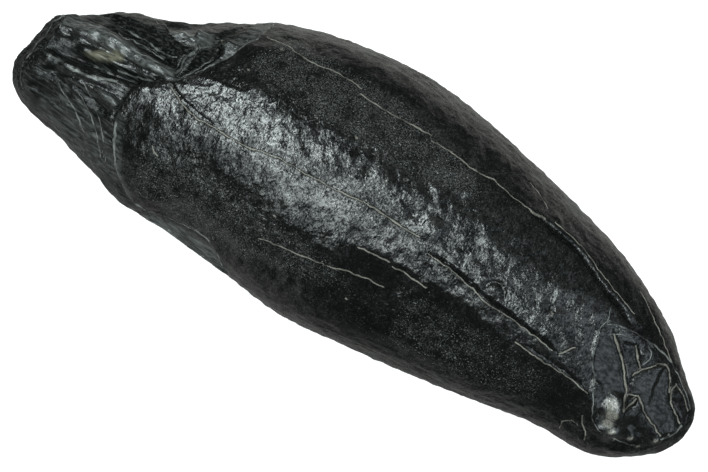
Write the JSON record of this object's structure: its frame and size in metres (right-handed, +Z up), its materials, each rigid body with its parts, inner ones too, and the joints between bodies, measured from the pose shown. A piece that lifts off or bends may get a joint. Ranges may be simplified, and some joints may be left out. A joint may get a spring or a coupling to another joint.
{
  "type": "fossil sperm whale tooth",
  "caption": "Fossil sperm whale tooth lying on its side: a black, gently curved, blunt-tipped tooth with lengthwise cracks and its outer layer broken away in ledges at the root.",
  "frame": {"origin": "the middle of the bounding box at its bottom, on the surface that the tooth lies on", "axes": "+X along the tooth from the broken root to the worn crown, +Y towards its convex edge, +Z up"},
  "size_m": [0.1202, 0.044, 0.0372],
  "materials": {
    "fossil_tooth": "satin black, petrified"
  },
  "bodies": {
    "root": {"tooth": "fossil_tooth"}
  },
  "joints": []
}
